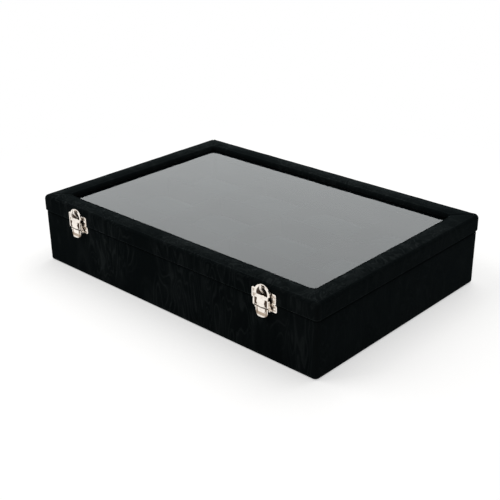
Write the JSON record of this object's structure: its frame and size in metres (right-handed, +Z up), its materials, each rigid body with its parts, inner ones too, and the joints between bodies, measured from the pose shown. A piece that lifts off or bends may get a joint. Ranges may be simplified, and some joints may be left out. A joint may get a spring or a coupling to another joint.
{
  "type": "watch display tray",
  "caption": "Glass-topped display tray in black velvet: a hinged, glazed lid with toggle latches over a divided tray of loose velvet cushions.",
  "frame": {"origin": "centre of the footprint, on the surface the tray rests on", "axes": "+X along the long side to the right, -Y towards the latches, +Z up"},
  "size_m": [0.35, 0.2496, 0.07],
  "materials": {
    "black_velvet": "short-pile velvet",
    "lining_velvet": "short-pile velvet",
    "cushion_velvet": "short-pile velvet over foam",
    "felt": "pressed felt",
    "fibreboard": "raw fibreboard",
    "glass": "clear float glass",
    "nickel": "nickel plate over stamped steel",
    "hinge_steel": "nickel-plated steel"
  },
  "bodies": {
    "base": {"bottom_board": "fibreboard", "front_board": "fibreboard", "back_board": "fibreboard", "left_board": "fibreboard", "right_board": "fibreboard", "base_velvet": "black_velvet", "base_lining": "lining_velvet", "long_divider_1": "lining_velvet", "long_divider_2": "lining_velvet", "cross_divider_1": "lining_velvet", "cross_divider_2": "lining_velvet", "cross_divider_3": "lining_velvet", "bottom_felt": "felt", "latch_base_nails": "nickel", "hinge_base_nails": "hinge_steel", "left_latch_base_plate": "nickel", "left_latch_lever_pin": "nickel", "left_hinge_base_leaf": "hinge_steel", "left_hinge_pin": "hinge_steel", "right_latch_base_plate": "nickel", "right_latch_lever_pin": "nickel", "right_hinge_base_leaf": "hinge_steel", "right_hinge_pin": "hinge_steel"},
    "lid": {"lid_front_rail": "fibreboard", "lid_back_rail": "fibreboard", "lid_left_rail": "fibreboard", "lid_right_rail": "fibreboard", "lid_velvet": "black_velvet", "lid_glass": "glass", "front_glass_bead": "lining_velvet", "back_glass_bead": "lining_velvet", "left_glass_bead": "lining_velvet", "right_glass_bead": "lining_velvet", "latch_catch_nails": "nickel", "hinge_lid_nails": "hinge_steel", "left_latch_catch_plate": "nickel", "right_latch_catch_plate": "nickel", "left_hinge_lid_leaf": "hinge_steel", "right_hinge_lid_leaf": "hinge_steel"},
    "left_lever": {"left_latch_lever": "nickel", "left_latch_loop_pin": "nickel"},
    "left_loop": {"left_latch_loop": "nickel"},
    "right_lever": {"right_latch_lever": "nickel", "right_latch_loop_pin": "nickel"},
    "right_loop": {"right_latch_loop": "nickel"},
    "cushion_1_1": {"cushion_1_1": "cushion_velvet"},
    "cushion_1_2": {"cushion_1_2": "cushion_velvet"},
    "cushion_1_3": {"cushion_1_3": "cushion_velvet"},
    "cushion_1_4": {"cushion_1_4": "cushion_velvet"},
    "cushion_2_1": {"cushion_2_1": "cushion_velvet"},
    "cushion_2_2": {"cushion_2_2": "cushion_velvet"},
    "cushion_2_3": {"cushion_2_3": "cushion_velvet"},
    "cushion_2_4": {"cushion_2_4": "cushion_velvet"},
    "cushion_3_1": {"cushion_3_1": "cushion_velvet"},
    "cushion_3_2": {"cushion_3_2": "cushion_velvet"},
    "cushion_3_3": {"cushion_3_3": "cushion_velvet"},
    "cushion_3_4": {"cushion_3_4": "cushion_velvet"}
  },
  "joints": [
    {"name": "lid_hinge", "type": "hinge", "parent": "base", "child": "lid", "pos_m": [0, 0.1225, 0.0535], "axis": [-1, 0, 0], "range_deg": [0, 105]},
    {"name": "left_latch_lever", "type": "hinge", "parent": "base", "child": "left_lever", "pos_m": [-0.12, -0.1217, 0.051], "axis": [-1, 0, 0], "range_deg": [0, 100]},
    {"name": "left_latch_loop", "type": "hinge", "parent": "left_lever", "child": "left_loop", "pos_m": [-0.12, -0.1213, 0.0476], "axis": [-1, 0, 0], "range_deg": [-89.5, 0]},
    {"name": "right_latch_lever", "type": "hinge", "parent": "base", "child": "right_lever", "pos_m": [0.12, -0.1217, 0.051], "axis": [-1, 0, 0], "range_deg": [0, 100]},
    {"name": "right_latch_loop", "type": "hinge", "parent": "right_lever", "child": "right_loop", "pos_m": [0.12, -0.1213, 0.0476], "axis": [-1, 0, 0], "range_deg": [-89.5, 0]},
    {"name": "slip_out_1_1", "type": "slide", "parent": "base", "child": "cushion_1_1", "axis": [0, 0, 1], "range_m": [0, 0.013]},
    {"name": "slip_out_1_2", "type": "slide", "parent": "base", "child": "cushion_1_2", "axis": [0, 0, 1], "range_m": [0, 0.013]},
    {"name": "slip_out_1_3", "type": "slide", "parent": "base", "child": "cushion_1_3", "axis": [0, 0, 1], "range_m": [0, 0.013]},
    {"name": "slip_out_1_4", "type": "slide", "parent": "base", "child": "cushion_1_4", "axis": [0, 0, 1], "range_m": [0, 0.013]},
    {"name": "slip_out_2_1", "type": "slide", "parent": "base", "child": "cushion_2_1", "axis": [0, 0, 1], "range_m": [0, 0.013]},
    {"name": "slip_out_2_2", "type": "slide", "parent": "base", "child": "cushion_2_2", "axis": [0, 0, 1], "range_m": [0, 0.013]},
    {"name": "slip_out_2_3", "type": "slide", "parent": "base", "child": "cushion_2_3", "axis": [0, 0, 1], "range_m": [0, 0.013]},
    {"name": "slip_out_2_4", "type": "slide", "parent": "base", "child": "cushion_2_4", "axis": [0, 0, 1], "range_m": [0, 0.013]},
    {"name": "slip_out_3_1", "type": "slide", "parent": "base", "child": "cushion_3_1", "axis": [0, 0, 1], "range_m": [0, 0.013]},
    {"name": "slip_out_3_2", "type": "slide", "parent": "base", "child": "cushion_3_2", "axis": [0, 0, 1], "range_m": [0, 0.013]},
    {"name": "slip_out_3_3", "type": "slide", "parent": "base", "child": "cushion_3_3", "axis": [0, 0, 1], "range_m": [0, 0.013]},
    {"name": "slip_out_3_4", "type": "slide", "parent": "base", "child": "cushion_3_4", "axis": [0, 0, 1], "range_m": [0, 0.013]}
  ],
  "couplings": [
    {"joint": "left_latch_loop", "follows": "left_latch_lever", "ratio": -0.89},
    {"joint": "right_latch_loop", "follows": "right_latch_lever", "ratio": -0.89}
  ]
}
